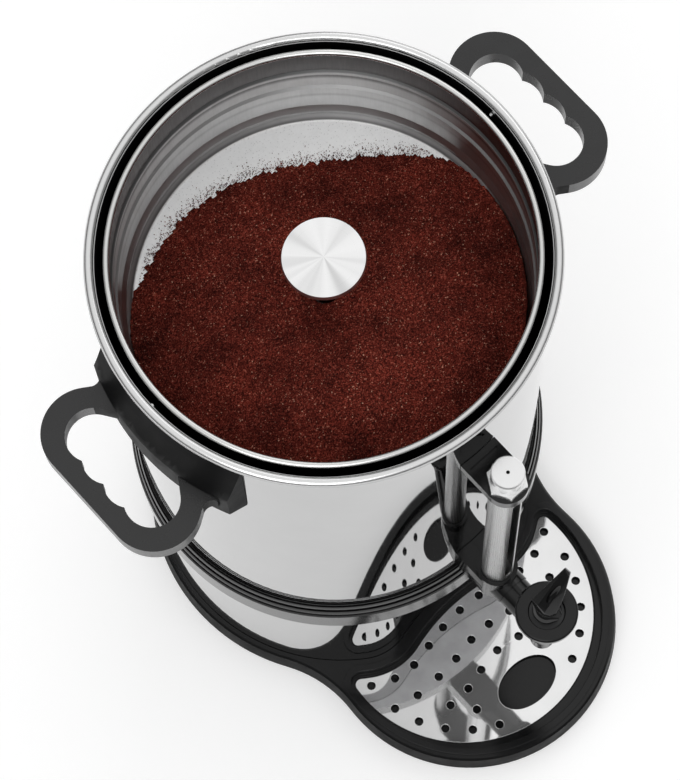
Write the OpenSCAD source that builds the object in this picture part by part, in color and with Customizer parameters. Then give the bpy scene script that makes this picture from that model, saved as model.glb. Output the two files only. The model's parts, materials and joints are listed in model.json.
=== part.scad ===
// Coffee urn: percolating brew insert in a single-walled steel tank, sight gauge,
// self-closing tap, heated base with a drip tray. Millimetres, +Z up, front is -Y.

/* [Body] */
// Outer radius of the tank and of the lower skirt
body_r = 144; // [135:1:175]
// Thickness of the sheet steel
sheet_t = 0.8; // [0.6:0.1:1.2]
// Height of the top of the tank rim
rim_z = 569; // [480:1:690]
// Radius of the rolled bead on the tank rim
rim_bead_r = 3.2; // [2.5:0.1:4]
// Height of the heated tank floor over the underside of the belt ring
floor_rise = 31.4; // [30:0.1:38]
// Radius of the pump well in the tank floor
well_r = 38; // [32:1:44]
// Depth of the pump well
well_depth = 12; // [8:1:14]

/* [Belt ring] */
// How far the black belt ring stands out from the body
belt_out = 6.7; // [4:0.1:9]
// Height of the underside of the belt ring
belt_z = 176.6; // [165:0.1:215]
// Height of the belt ring's upright face
belt_face_h = 26.6; // [20:0.1:28]
// Height of the belt ring's stepped shoulder above that face
belt_shoulder_h = 14.5; // [10:0.1:18]

/* [Niche] */
// How far the niche wall lies behind the front of the body
niche_depth = 26; // [16:1:34]
// Radius of the hollow niche wall
niche_r = 170; // [150:1:220]
// Radius of the rounded shoulders beside the niche
shoulder_r = 40; // [30:1:46]

/* [Base] */
// How far the round base stands out from the body at its top
base_out = 5; // [4:0.1:12]
// Height of the base deck
base_top_z = 22; // [20:1:30]
// Thickness of the feet under the base
foot_t = 1.5; // [1:0.1:4]
// How much wider the base is at the bottom than at the top
base_flare = 2; // [0:0.5:6]
// Slanted edge round the top of the base
base_chamfer = 1.6; // [0.5:0.1:3]
// Moulded wall of the base
base_wall = 3; // [2:0.5:4]
// Radius of the hollow curve between the round part and the tray
waist_r = 100; // [70:1:130]

/* [Drip tray] */
// How far the centre of the tray's front arc lies in front of the body
tray_out = 3.4; // [0:0.1:20]
// Radius of the tray's front arc at its top
tray_r = 113.2; // [111:0.1:125]
// How far the centre of the grate's front arc lies behind the tray's
grate_back = 6.4; // [4:0.1:9]
// Width of the tray's rim beside the grate
tray_rim = 11.2; // [11:0.1:14]
// Gap between the skirt and the grate
grate_gap = 13; // [11.5:0.1:15]
// Height of the top of the grate
grate_z = 10.8; // [9:0.1:12]
// Thickness of the grate plate
grate_t = 1.2; // [0.8:0.1:1.6]
// Radius of the drain holes
drain_r = 3.2; // [2:0.1:4]
// Wall of the drip pan
pan_wall = 2; // [1.5:0.1:2.4]

/* [Brew insert] */
// Gap between the inside of the tank and the basket rim
basket_gap = 5.2; // [3.6:0.1:8]
// Depth of the filter basket
basket_depth = 95; // [70:1:105]
// Outer radius of the riser tube
riser_r = 8; // [6:0.5:10]
// Radius of the spray cap
cap_r = 27; // [22:1:32]
// Deepest level of the ground coffee over the basket floor
coffee_depth = 46; // [20:1:60]

/* [Handles] */
// How far the handle loops lie below the rim
handle_drop = 60.3; // [50:0.1:120]
// How far the outside of the grip stands out from the body
handle_out = 63.4; // [58:0.1:80]
// Thickness of the handle loop
handle_t = 15; // [12:0.5:18]
// Half the length of the handle loop
handle_half = 62; // [56:1:68]
// How far the left handle sits towards the back (negative towards the front)
left_shift = -4.2; // [-5:0.1:5]
// How far the right handle sits towards the back
right_shift = 1.2; // [-5:0.1:5]
// Spacing of the finger grooves
finger_pitch = 20.8; // [19:0.1:22]
// Height of the upright face of the handle's mounting bar
bar_face_h = 33; // [24:0.5:38]
// Height of the faceted slope above that face
bar_slope_h = 33; // [20:0.5:36]

/* [Sight gauge] */
// How far the gauge tube stands out from the body
gauge_out = 27; // [25:0.5:36]
// Outer radius of the steel gauge sleeve
sleeve_r = 11.2; // [10:0.1:12.5]
// Radius of the glass tube
glass_r = 6; // [5:0.1:7]
// Height of the top of the lower block over the spout
block_rise = 15; // [13:0.5:20]
// How far the top of the upper bracket lies below the rim
bracket_drop = 78; // [66:1:120]
// Width of the viewing slot
slot_w = 7; // [5:0.5:9]

/* [Tap] */
// Distance from the gauge tube to the tap's stem
tap_reach = 49.6; // [45:0.1:60]
// Height of the spout tube's centre line over the tank floor
spout_rise = 33; // [28:0.5:40]
// Radius of the spout tube
spout_r = 12; // [11:0.5:14]
// How far the nozzle outlet lies below the spout's centre line
nozzle_drop = 43; // [36:1:50]
// Radius of the bore through the nozzle
nozzle_bore = 5; // [4:0.5:6]
// Radius of the bonnet flange
bonnet_r = 22; // [20:0.1:25]
// Height of the bonnet's underside over the spout's centre line
bonnet_rise = 34.5; // [28:0.5:42]
// Length of the lever above its pin
lever_len = 42.5; // [34:0.5:52]
// Lean of the lever from upright when the tap is shut
lever_lean = 31; // [10:1:34]
// How far the lever is turned from the +X side towards the back
lever_turn = 12; // [0:1:60]

/* [Controls] */
// Direction of the switch and lamps, from the front towards +X
control_az = 66; // [60:1:90]
// Height of the centre of the power switch
switch_z = 96; // [80:1:110]

/* [Hidden] */
$fn = 96;

steel = [0.78, 0.79, 0.8];
dark = [0.08, 0.08, 0.085];
tiny = 0.01;
fit = 0.3;
slip = 0.6;
run_fit = 0.06;
thread_fit = 0.05;

// Places worked out from the driving sizes
belt_r = body_r + belt_out;
belt_top_z = belt_z + belt_face_h + belt_shoulder_h;
floor_z = belt_z + floor_rise;
niche_y = body_r - niche_depth;
base_r = body_r + base_out;
tray_y = body_r + tray_out;
grate_y = tray_y - grate_back;
grate_r = tray_r - tray_rim;
basket_r = body_r - sheet_t - basket_gap;
handle_z = rim_z - handle_drop;
handle_x = body_r + handle_out;
gauge_y = body_r + gauge_out;
bracket_top_z = rim_z - bracket_drop;
tap_y = gauge_y + tap_reach;
spout_z = floor_z + spout_rise;
nozzle_z = spout_z - nozzle_drop;
block_top_z = spout_z + block_rise;
tray_front = tray_y + tray_r + base_flare;
axis_y = (tray_front - max(belt_r, base_r + base_flare)) / 2;
tank_foot_z = belt_z + 20.4;
skirt_top_z = tank_foot_z - 11;
skirt_foot_z = base_top_z - 2;
bead_c = body_r + rim_bead_r - 0.4;
bead_z = rim_z - rim_bead_r;
base_foot_z = foot_t;

// Centres of the arcs that make the niche and its shoulders
niche_cy = -(niche_y + niche_r);
shoulder_axis_d = body_r - shoulder_r;
shoulder_niche_d = niche_r + shoulder_r;
shoulder_y = (shoulder_axis_d^2 - shoulder_niche_d^2 + niche_cy^2) / (2 * niche_cy);
shoulder_x = sqrt(shoulder_axis_d^2 - shoulder_y^2);

// Centre of the waist arc between the round base and the tray
waist_axis_d = base_r + waist_r;
waist_tray_d = tray_r + waist_r;
waist_y = -(waist_axis_d^2 - waist_tray_d^2 + tray_y^2) / (2 * tray_y);
waist_x = sqrt(waist_axis_d^2 - waist_y^2);

// Centre of the small arcs that round the two horns of the grate
horn_r = 5;
horn_axis_d = body_r + grate_gap + horn_r;
horn_y = ((grate_r - horn_r)^2 - horn_axis_d^2 - grate_y^2) / (2 * grate_y);
horn_x = sqrt(horn_axis_d^2 - horn_y^2);

// Levels of the tap
bonnet_z = spout_z + bonnet_rise;
bonnet_t = 5.5;
recess_z = bonnet_z + 2.5;
ring_t = 0.8;
lever_hub_r = 11.2;
pin_z = recess_z + ring_t + lever_hub_r;
seat_z = spout_z - spout_r - 3;
valve_r = 13;
stem_r = 3;

basket_floor_z = bead_z - basket_depth;
riser_top_z = rim_z - 9;

module placed() {
    translate([0, axis_y, 0]) children();
}

// Plan of the skirt, grown outwards by e, all in true arcs
module skirt_outline(e = 0) {
    shoulder = shoulder_r + e;
    hollow = niche_r - e;
    outer = body_r + e;
    a = outer / shoulder_axis_d;
    b = hollow / shoulder_niche_d;
    tx = shoulder_x * a;
    ty = shoulder_y * a;
    nx = shoulder_x * b;
    ny = niche_cy + (shoulder_y - niche_cy) * b;
    difference() {
        circle(outer, $fn = 180);
        difference() {
            union() {
                translate([0, niche_cy]) circle(hollow, $fn = 240);
                polygon([
                    [nx, ny], [tx, ty], [tx, -2 * outer], [-tx, -2 * outer], [-tx, ty], [-nx, ny]
                ]);
            }
            for (s = [-1, 1]) translate([s * shoulder_x, shoulder_y]) circle(shoulder);
        }
    }
}

// Upright profile of the base's side on an arc of radius r; side is 1 for a round
// that stands out and -1 for a hollow that stands in
module side_profile(r, side, over = 0) {
    polygon([
        [0, base_foot_z - over], [r + side * base_flare, base_foot_z - over],
        [r + side * base_flare, base_foot_z], [r, base_top_z - base_chamfer],
        [r - side * base_chamfer, base_top_z], [r - side * base_chamfer, base_top_z + over],
        [0, base_top_z + over]
    ]);
}

// The round base and the tray run into each other through two hollow waists
module base_form() {
    k = (base_r + base_flare + 1) / waist_axis_d;
    m = (tray_r + base_flare + 1) / waist_tray_d;
    hair = 0.02;
    rotate_extrude($fn = 180) side_profile(base_r, 1);
    translate([0, -tray_y, 0]) rotate_extrude($fn = 180) side_profile(tray_r, 1);
    difference() {
        translate([0, 0, base_foot_z]) linear_extrude(base_top_z - base_foot_z) polygon([
            [waist_x * k, waist_y * k],
            [waist_x * m, -tray_y + (waist_y + tray_y) * m],
            [0, -tray_y - tray_r / 2],
            [-waist_x * m, -tray_y + (waist_y + tray_y) * m],
            [-waist_x * k, waist_y * k]
        ]);
        for (s = [-1, 1]) translate([s * waist_x, waist_y, 0])
            rotate_extrude($fn = 180) side_profile(waist_r - hair, -1, 1);
    }
}

// Plan of the drip grate with rounded horns, grown outwards by e, all in true arcs
module grate_outline(e = 0) {
    out = [horn_x, horn_y + grate_y] / (grate_r - horn_r);
    back = -[horn_x, horn_y] / horn_axis_d;
    reach = 6 * horn_r;
    difference() {
        translate([0, -grate_y]) circle(grate_r + e, $fn = 180);
        skirt_outline(grate_gap - e);
        for (s = [0, 1]) mirror([s, 0]) translate([horn_x, horn_y])
            polygon([[0, 0], reach * out, reach * (out + back), reach * back]);
    }
    for (s = [-1, 1]) translate([s * horn_x, horn_y]) circle(horn_r + e);
}

// Plan of the opening in the pan's upper edge, grown outwards by e: the grate's own
// plan with a margin, and in front an arc about the tray's centre
rim_e = 3.2;
rim_wall = 1.6;
step_z = grate_z + 1.5;
step_t = 1.6;

module rim_outline(e = 0) {
    split = tray_y + 22;
    grate_outline(rim_e + e);
    intersection() {
        translate([0, -tray_y]) circle(tray_r - 9.6 + e, $fn = 180);
        translate([-tray_r, -split - tray_r]) square([2 * tray_r, tray_r]);
    }
}

boss_az = [30, 150, 215, 325];

module at_bosses() {
    for (a = boss_az) rotate([0, 0, a]) translate([base_r - 21, 0, 0]) children();
}

rod_az = [90, 210, 330];
rod_d = body_r - 22;
rod_r = 2.4;

module at_rods() {
    for (a = rod_az) rotate([0, 0, a]) translate([rod_d, 0, 0]) children();
}

cover_t = 2;

module base() color(dark) placed() {
    deck_hole_r = body_r - 32;
    pocket_z = base_foot_z + base_wall / 2;
    deck_under = base_top_z - base_wall;
    hollow_e = rim_e + rim_wall + fit + base_wall;
    difference() {
        union() {
            difference() {
                base_form();
                translate([0, 0, base_foot_z - tiny]) linear_extrude(deck_under - base_foot_z + tiny)
                    difference() {
                        circle(base_r - base_wall, $fn = 180);
                        grate_outline(hollow_e);
                    }
            }
            at_bosses() translate([0, 0, base_foot_z + cover_t + fit])
                cylinder(h = deck_under - base_foot_z - cover_t, r = 5);
        }
        translate([0, 0, deck_under - tiny])
            linear_extrude(base_wall + 2 * tiny) intersection() {
                circle(deck_hole_r, $fn = 120);
                skirt_outline(-12);
            }
        translate([0, 0, pocket_z]) linear_extrude(base_top_z) grate_outline(pan_wall + slip + fit);
        translate([0, 0, step_z - step_t - fit]) linear_extrude(base_top_z) rim_outline(rim_wall + fit);
        translate([0, 0, skirt_foot_z]) linear_extrude(base_top_z) difference() {
            skirt_outline(fit);
            skirt_outline(-sheet_t - fit);
        }
        at_rods() translate([0, 0, deck_under - tiny]) cylinder(h = base_wall + 1, r = rod_r + fit);
        at_bosses() translate([0, 0, base_foot_z]) cylinder(h = deck_under - base_foot_z, r = cover_screw_r + thread_fit);
    }
}

module feet() color([0.12, 0.12, 0.12]) placed() {
    foot_r = 9;
    ring_r = base_r - 13.2;
    front_r = tray_r - 25;
    for (s = [-1, 1]) {
        for (a = [45, -16]) translate([s * ring_r * cos(a), ring_r * sin(a), 0])
            cylinder(h = foot_t, r = foot_r);
        translate([s * front_r * cos(42), -tray_y - front_r * sin(42), 0])
            cylinder(h = foot_t, r = foot_r);
    }
}

module base_cover() color([0.35, 0.36, 0.37]) placed() {
    vent_ring = 70;
    vent_count = 12;
    difference() {
        translate([0, 0, base_foot_z]) linear_extrude(cover_t) difference() {
            circle(base_r - base_wall - slip, $fn = 120);
            grate_outline(rim_e + rim_wall + fit + base_wall + slip);
        }
        for (i = [0:vent_count - 1]) rotate([0, 0, i * 360 / vent_count])
            translate([vent_ring, -2.5, 0]) cube([26, 5, 10]);
        at_bosses() cylinder(h = 10, r = 2.2);
        at_bosses() translate([0, 0, base_foot_z - tiny]) cylinder(h = 1.6, r1 = 4, r2 = 2.4);
    }
}

cover_screw_r = 1.6;

module cover_screws() color("silver") placed() {
    at_bosses() translate([0, 0, base_foot_z]) {
        cylinder(h = 1.4, r1 = 3.7, r2 = 2.1);
        cylinder(h = 13, r = cover_screw_r);
    }
}

pan_floor = 2;

module drip_pan() color(dark) placed() {
    pan_z = base_foot_z + base_wall / 2 + fit;
    ledge_z = grate_z - grate_t;
    ledge = 3.5;
    lip_t = 1.4;
    lip_w = 3.6;
    difference() {
        union() {
            translate([0, 0, pan_z]) linear_extrude(step_z - pan_z) grate_outline(pan_wall + slip);
            translate([0, 0, step_z - step_t]) linear_extrude(base_top_z - step_z + step_t + tiny)
                rim_outline(rim_wall);
            translate([0, 0, base_top_z]) linear_extrude(lip_t) rim_outline(rim_wall + lip_w);
        }
        translate([0, 0, ledge_z]) linear_extrude(base_top_z) grate_outline(slip);
        translate([0, 0, step_z]) linear_extrude(base_top_z) rim_outline(0);
        translate([0, 0, pan_z + pan_floor]) linear_extrude(base_top_z) grate_outline(-ledge);
    }
    for (p = [[-45, 0], [0, -20], [45, 0]]) translate([p[0], -grate_y - 20 + p[1] / 4, pan_z])
        cylinder(h = ledge_z - pan_z, r = 3);
}

// Distance of the body's front from the axis at x, in the plan grown outwards by e
function front_at(x, e) = x < shoulder_x * (niche_r - e) / shoulder_niche_d
    ? -niche_cy - sqrt((niche_r - e)^2 - x^2)
    : -shoulder_y + sqrt((shoulder_r + e)^2 - (x - shoulder_x)^2);

module drain_hole(x, y) {
    for (s = x > 0 ? [-1, 1] : [1]) translate([s * x, -y, grate_z - 2 * grate_t])
        cylinder(h = 3 * grate_t, r = drain_r, $fn = 24);
}

module drip_grate() color([0.9, 0.9, 0.91]) placed() {
    border_r = grate_r - 10;
    border_step = 13.17;
    row_gap = grate_gap + 6.5;
    row = front_at(0, row_gap);
    thumb = [26, 16.8];
    difference() {
        translate([0, 0, grate_z - grate_t]) linear_extrude(grate_t) grate_outline(0);
        // border row along the front arc
        for (i = [2:6]) let (a = i * border_step - 1.7)
            drain_hole(border_r * sin(a), grate_y + border_r * cos(a));
        // row beside the niche, following its plan
        for (x = [0, 19, 37, 55.7, 73.8, 91.3]) drain_hole(x, front_at(x, row_gap));
        // the rows in front of it, each place as [x, distance in front of the first row]
        for (p = [[9.3, 23.3], [28.1, 26.4], [47.8, 27.9], [69.7, 27.8],
                  [0, 43], [19.8, 46], [37.2, 50.2], [56.2, 50.6], [43.4, 66.7]])
            drain_hole(p[0], row + p[1]);
        // oval thumb hole
        translate([0, -grate_y - grate_r + 28.6, grate_z - 2 * grate_t])
            linear_extrude(3 * grate_t) scale([thumb[0] / thumb[1], 1]) circle(thumb[1], $fn = 72);
    }
}

module at_controls(z) {
    rotate([0, 0, control_az]) translate([0, 0, z]) children();
}

lamp_step = 34;
lamp_pitch = 20;
lamp_hole = 6.2;
switch_w = 22;
switch_h = 30;

// Each lamp points straight out of the skirt; +Z runs inwards from 2 mm outside it
module at_lamps() {
    for (s = [-1, 1]) at_controls(switch_z + lamp_step)
        rotate([0, 0, s * asin(lamp_pitch / 2 / body_r)])
            translate([0, -body_r - 2, 0]) rotate([-90, 0, 0]) children();
}

gland_z = 48;

module skirt() color(steel) placed() {
    difference() {
        translate([0, 0, skirt_foot_z]) linear_extrude(skirt_top_z - skirt_foot_z) difference() {
            skirt_outline(0);
            skirt_outline(-sheet_t);
        }
        at_controls(switch_z) translate([-switch_w / 2, -body_r - 5, -switch_h / 2])
            cube([switch_w, 20, switch_h]);
        at_lamps() cylinder(h = 20, r = lamp_hole);
        translate([0, 0, gland_z]) rotate([-90, 0, 0]) cylinder(h = body_r + 5, r = gland_r + fit);
        for (i = [-4:4]) rotate([0, 0, i * 3.4]) translate([-1.5, body_r - 10, 110])
            cube([3, 20, 36]);
    }
}

gland_r = 8;
cord_r = 4.2;

module cord_gland() color(dark) placed() {
    translate([0, 0, gland_z]) rotate([-90, 0, 0]) difference() {
        union() {
            translate([0, 0, body_r - 12]) cylinder(h = 16, r = gland_r);
            translate([0, 0, body_r + 0.2]) cylinder(h = 3, r = gland_r + 4);
            translate([0, 0, body_r - 12]) cylinder(h = 9, r = gland_r + 3, $fn = 6);
        }
        translate([0, 0, body_r - 20]) cylinder(h = 40, r = cord_r);
    }
}

module belt_ring() color(dark) placed() {
    seat_r = body_r + fit;
    lip_r = body_r - 3.6;
    face_top = belt_z + belt_face_h;
    top_h = belt_top_z - face_top;
    step = belt_out / 6;
    ceiling_t = 3;
    rotate_extrude($fn = 180) polygon([
        [belt_r, belt_z],
        [belt_r, face_top],
        [belt_r - step * 0.7, face_top + top_h * 0.1],
        [belt_r - step * 1.4, face_top + top_h * 0.1],
        [belt_r - step * 1.6, face_top + top_h * 0.34],
        [belt_r - step * 2.4, face_top + top_h * 0.48],
        [belt_r - step * 3.2, face_top + top_h * 0.42],
        [belt_r - step * 3.4, face_top + top_h * 0.72],
        [belt_r - step * 4.2, face_top + top_h * 0.88],
        [belt_r - step * 4.8, face_top + top_h * 0.84],
        [seat_r + 0.5, belt_top_z],
        [seat_r, belt_top_z],
        [seat_r, tank_foot_z],
        [lip_r, tank_foot_z],
        [lip_r, skirt_top_z + fit],
        [seat_r, skirt_top_z + fit],
        [seat_r, belt_z]
    ]);
    translate([0, 0, belt_z]) linear_extrude(ceiling_t) difference() {
        circle(seat_r + 1, $fn = 180);
        skirt_outline(fit);
    }
}

module tank() color(steel) placed() {
    inner = body_r - sheet_t;
    knuckle = 9;
    floor_t = 1.2;
    difference() {
        rotate_extrude($fn = 180) {
            translate([inner, tank_foot_z]) square([sheet_t, bead_z - tank_foot_z]);
            translate([bead_c, bead_z]) circle(rim_bead_r, $fn = 36);
            translate([well_r + floor_t, floor_z]) square([inner - knuckle - well_r - floor_t, floor_t]);
            difference() {
                translate([inner - knuckle, floor_z]) square([knuckle + tiny, knuckle + floor_t]);
                translate([inner - knuckle, floor_z + knuckle + floor_t]) circle(knuckle, $fn = 48);
            }
            translate([well_r, floor_z - well_depth]) square([floor_t, well_depth + floor_t]);
            translate([0, floor_z - well_depth]) square([well_r + tiny, floor_t]);
        }
        translate([0, -inner + 5, spout_z]) rotate([90, 0, 0]) cylinder(h = 20, r = outlet_r + fit);
        translate([0, -inner + 5, bracket_top_z - arm_t / 2]) rotate([90, 0, 0])
            cylinder(h = 20, r = bracket_screw_r + 0.6);
        at_handle_screws() cylinder(h = 20, r = handle_screw_r + 0.6);
    }
}

module tie_rods() color("silver") placed() {
    at_rods() translate([0, 0, base_top_z - base_wall - 6])
        cylinder(h = floor_z - base_top_z + base_wall + 6, r = rod_r);
}

module tie_nuts() color("silver") placed() {
    at_rods() translate([0, 0, base_top_z - base_wall - 4]) difference() {
        cylinder(h = 4, r = 4.6, $fn = 6);
        translate([0, 0, -1]) cylinder(h = 6, r = rod_r + thread_fit);
    }
}

module lid_pins() color(steel) placed() {
    pin_drop = 10;
    for (s = [-1, 1]) translate([s * (body_r - sheet_t - 0.25), 0, rim_z - pin_drop])
        rotate([0, -s * 90, 0]) {
            cylinder(h = 1.2, r = 2, $fn = 32);
            translate([0, 0, 1.2]) sphere(1.4, $fn = 24);
        }
}

plate_t = 3;
plate_r = 84;
element_c = 62;
element_r = 4;

module heater_plate() color([0.7, 0.7, 0.68]) placed() {
    translate([0, 0, floor_z - plate_t]) difference() {
        cylinder(h = plate_t, r = plate_r);
        translate([0, 0, -1]) cylinder(h = plate_t + 2, r = well_r + 1.5);
    }
}

module heating_element() color([0.45, 0.42, 0.4]) placed() {
    gap_a = 34;
    translate([0, 0, floor_z - plate_t - element_r]) rotate([0, 0, 90 + gap_a / 2]) {
        rotate_extrude(angle = 360 - gap_a) translate([element_c, 0]) circle(element_r, $fn = 24);
        for (a = [0, -gap_a]) rotate([0, 0, a]) translate([element_c, 0, -20])
            cylinder(h = 20, r = element_r - 0.6, $fn = 24);
    }
}

module bimetal(az, r, h) {
    rotate([0, 0, az]) translate([element_c + 14, 0, floor_z - plate_t - h]) {
        cylinder(h = h, r = r);
        translate([-3, -r - 2, 0]) cube([6, 2 * r + 4, 2]);
    }
}

module thermostat() color([0.85, 0.83, 0.78]) placed() bimetal(200, 7.5, 9);

module thermal_cutout() color([0.3, 0.28, 0.27]) placed() bimetal(340, 7.5, 12);

module terminal_block() color([0.9, 0.9, 0.88]) placed() {
    size = [46, 20, 15];
    ways = 3;
    translate([-size[0] / 2, 40, base_foot_z + cover_t]) difference() {
        cube(size);
        for (i = [0:ways - 1]) translate([size[0] * (i + 0.5) / ways, size[1] / 2, size[2] - 8])
            cylinder(h = 10, r = 3);
    }
}

bezel_out = 3;

module switch_bezel() color(dark) placed() at_controls(switch_z) {
    rim = 3;
    depth = 18;
    difference() {
        union() {
            translate([-switch_w / 2 - rim, -body_r - bezel_out, -switch_h / 2 - rim])
                cube([switch_w + 2 * rim, bezel_out, switch_h + 2 * rim]);
            translate([-switch_w / 2 + fit, -body_r - 1, -switch_h / 2 + fit])
                cube([switch_w - 2 * fit, depth, switch_h - 2 * fit]);
        }
        translate([-rocker_w / 2 - 0.4, -body_r - bezel_out - 1, -rocker_h / 2 - 1.2])
            cube([rocker_w + 0.8, 12, rocker_h + 2.4]);
        translate([-switch_w / 2 - 1, -body_r + 2, 0]) rotate([0, 90, 0]) cylinder(h = switch_w + 2, r = 1.5);
    }
}

rocker_w = 15;
rocker_h = 22;
rocker_throw = 7;

module switch_rocker() color([0.5, 0.05, 0.04]) placed() at_controls(switch_z)
    translate([0, -body_r + 2, 0]) rotate([-rocker_throw, 0, 0]) {
        rotate([90, 0, 90]) translate([0, 0, -rocker_w / 2]) linear_extrude(rocker_w) polygon([
            [3, -3], [3, 3], [-4, rocker_h / 2 - 0.6], [-7, rocker_h / 2],
            [-5.6, 0], [-7, -rocker_h / 2], [-4, -rocker_h / 2 + 0.6]
        ]);
        translate([-switch_w / 2 + fit + 0.4, 0, 0]) rotate([0, 90, 0])
            cylinder(h = switch_w - 2 * fit - 0.8, r = 1.45, $fn = 24);
    }

lamp_r = lamp_hole - 1.6;

module lamp_bezels() color(dark) placed() at_lamps() {
    difference() {
        union() {
            cylinder(h = 1.9, r = lamp_hole + 1.8);
            cylinder(h = 12, r = lamp_hole - fit);
        }
        translate([0, 0, -1]) cylinder(h = 20, r = lamp_r);
    }
}

module lamp_lenses() color([0.9, 0.45, 0.1]) placed() at_lamps() {
    cylinder(h = 10, r = lamp_r - thread_fit);
    intersection() {
        translate([0, 0, 4]) sphere(6.4, $fn = 48);
        translate([0, 0, -3]) cylinder(h = 4, r = lamp_r - thread_fit);
    }
}

// Handles: the left one is the right one mirrored
bar_t = 13;
bar_r = body_r + bar_t;
bar_half = handle_half;
bar_face_z = handle_z + 4 - bar_face_h;
screw_rise = 14;
handle_screw_r = 1.9;
screw_a = 17;

module at_handle_screws(sides = [-1, 1]) {
    for (s = sides) for (a = [-screw_a, screw_a])
        rotate([0, 0, a + (s > 0 ? 0 : 180)])
            translate([body_r - sheet_t - 10, 0, bar_face_z + screw_rise])
                rotate([0, 90, 0]) children();
}

// Plan of the loop in true arcs: corners, leaning arms, and a small round where each
// arm runs into the mounting bar
module handle_loop() {
    corner = 30;
    arm_lean = 33.1;
    neck_r = 6.5;
    hair = 0.02;
    c = [handle_x - corner, handle_half - corner];
    n = [-sin(arm_lean), cos(arm_lean)];
    t = [cos(arm_lean), sin(arm_lean)];
    p = c + corner * n;
    k = n * p + neck_r;
    neck = k * n + sqrt((bar_r + neck_r)^2 - k^2) * t;
    foot = neck * bar_r / (bar_r + neck_r);
    root = foot * (body_r + 4) / bar_r;
    difference() {
        union() {
            for (s = [-1, 1]) translate([c[0], s * c[1]]) circle(corner, $fn = 120);
            for (s = [0, 1]) mirror([0, s]) polygon([
                [handle_x, 0], [handle_x, c[1]], p, neck - neck_r * n, neck, foot, root, [root[0], 0]
            ]);
        }
        for (s = [-1, 1]) translate([neck[0], s * neck[1]]) circle(neck_r + hair, $fn = 48);
        handle_hole();
    }
}

// Finger opening: round corners, two wide grooves between them, leaning sides
module handle_hole() {
    corner = 18;
    lean = 56.1;
    groove_r = 17.2;
    grip_w = 12;
    c = [handle_x - grip_w - 1.4 - corner, handle_half - 15.5 - corner];
    p = c + corner * [-sin(lean), cos(lean)];
    deep = body_r + 6;
    q = p - (p[0] - deep) / cos(lean) * [cos(lean), sin(lean)];
    for (s = [-1, 1]) {
        translate([c[0], s * c[1]]) circle(corner, $fn = 96);
        translate([handle_x - grip_w - groove_r, s * finger_pitch / 2]) circle(groove_r, $fn = 96);
    }
    for (s = [0, 1]) mirror([0, s]) polygon([[c[0] + 2, 0], [c[0] + 2, c[1]], p, q, [deep, 0]]);
}

module handle(side, shift) {
    slope_z = bar_face_z + bar_face_h;
    edge_r = body_r + 1.2;
    slope_w = bar_r - edge_r;
    mirror([side < 0 ? 1 : 0, 0, 0]) difference() {
        union() {
            translate([0, 0, handle_z - handle_t]) linear_extrude(handle_t) difference() {
                translate([0, shift]) handle_loop();
                circle(body_r + 3, $fn = 180);
            }
            rotate([0, 0, -32]) rotate_extrude(angle = 64, $fn = 180) polygon([
                [body_r + fit, bar_face_z - 12],
                [bar_r, bar_face_z],
                [bar_r, slope_z],
                [bar_r - 0.3 * slope_w, slope_z + 0.25 * bar_slope_h],
                [bar_r - 0.64 * slope_w, slope_z + 0.6 * bar_slope_h],
                [edge_r, slope_z + bar_slope_h],
                [body_r + fit, slope_z + bar_slope_h]
            ]);
        }
        // the bar ends in two upright planes
        for (s = [-1, 1]) translate([body_r - 40, shift + s * (bar_half + 20) - 20, 0])
            cube([80, 40, rim_z]);
        at_handle_screws([1]) cylinder(h = 22, r = handle_screw_r + thread_fit);
    }
}

module handle_left() color(dark) placed() handle(-1, left_shift);

module handle_right() color(dark) placed() handle(1, right_shift);

module handle_screws() color("silver") placed() {
    head_h = 2.6;
    at_handle_screws() translate([0, 0, 10 - seal_t - head_h]) {
        difference() {
            cylinder(h = head_h, r = 4.5);
            translate([0, 0, -tiny]) cylinder(h = 1.4, r = 2, $fn = 6);
        }
        cylinder(h = head_h + seal_t + sheet_t + 8, r = handle_screw_r);
    }
}

seal_t = 1.2;

module handle_seals() color([0.75, 0.3, 0.2]) placed() {
    at_handle_screws() translate([0, 0, 10 - seal_t]) difference() {
        cylinder(h = seal_t - 0.15, r = 5.5);
        translate([0, 0, -1]) cylinder(h = 4, r = handle_screw_r + 0.1);
    }
}

// Brew insert
wall_r = basket_r - 2.5;

module filter_basket() color(steel) placed() {
    t = 0.8;
    lip_r = 2.1;
    z = basket_floor_z;
    hub_r = riser_r + 2.2;
    rotate_extrude($fn = 180) {
        translate([basket_r - lip_r, bead_z]) circle(lip_r, $fn = 24);
        polygon([
            [wall_r, bead_z], [wall_r, z + 68], [wall_r + 0.8, z + 66.5], [wall_r - 1.2, z + 64.5],
            [wall_r - 1.2, z + 45], [wall_r - 0.4, z + 43.5], [wall_r - 2.4, z + 41.5],
            [wall_r - 2.4, z + 13], [wall_r - 5, z + 8], [wall_r - 5, z + 4], [wall_r - 9, z],
            [hub_r, z], [hub_r, z + 16], [riser_r + slip, z + 16], [riser_r + slip, z - 1],
            [wall_r - 8.6, z - 1], [wall_r - 5 + t, z + 3.4], [wall_r - 5 + t, z + 7.6],
            [wall_r - 2.4 + t, z + 12.6], [wall_r - 2.4 + t, z + 41.2], [wall_r - 0.4 + t, z + 43.2],
            [wall_r - 1.2 + t, z + 45.2], [wall_r - 1.2 + t, z + 64.2], [wall_r + 0.8 + t, z + 66.2],
            [wall_r + t, z + 68.2], [wall_r + t, bead_z]
        ]);
    }
}

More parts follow.
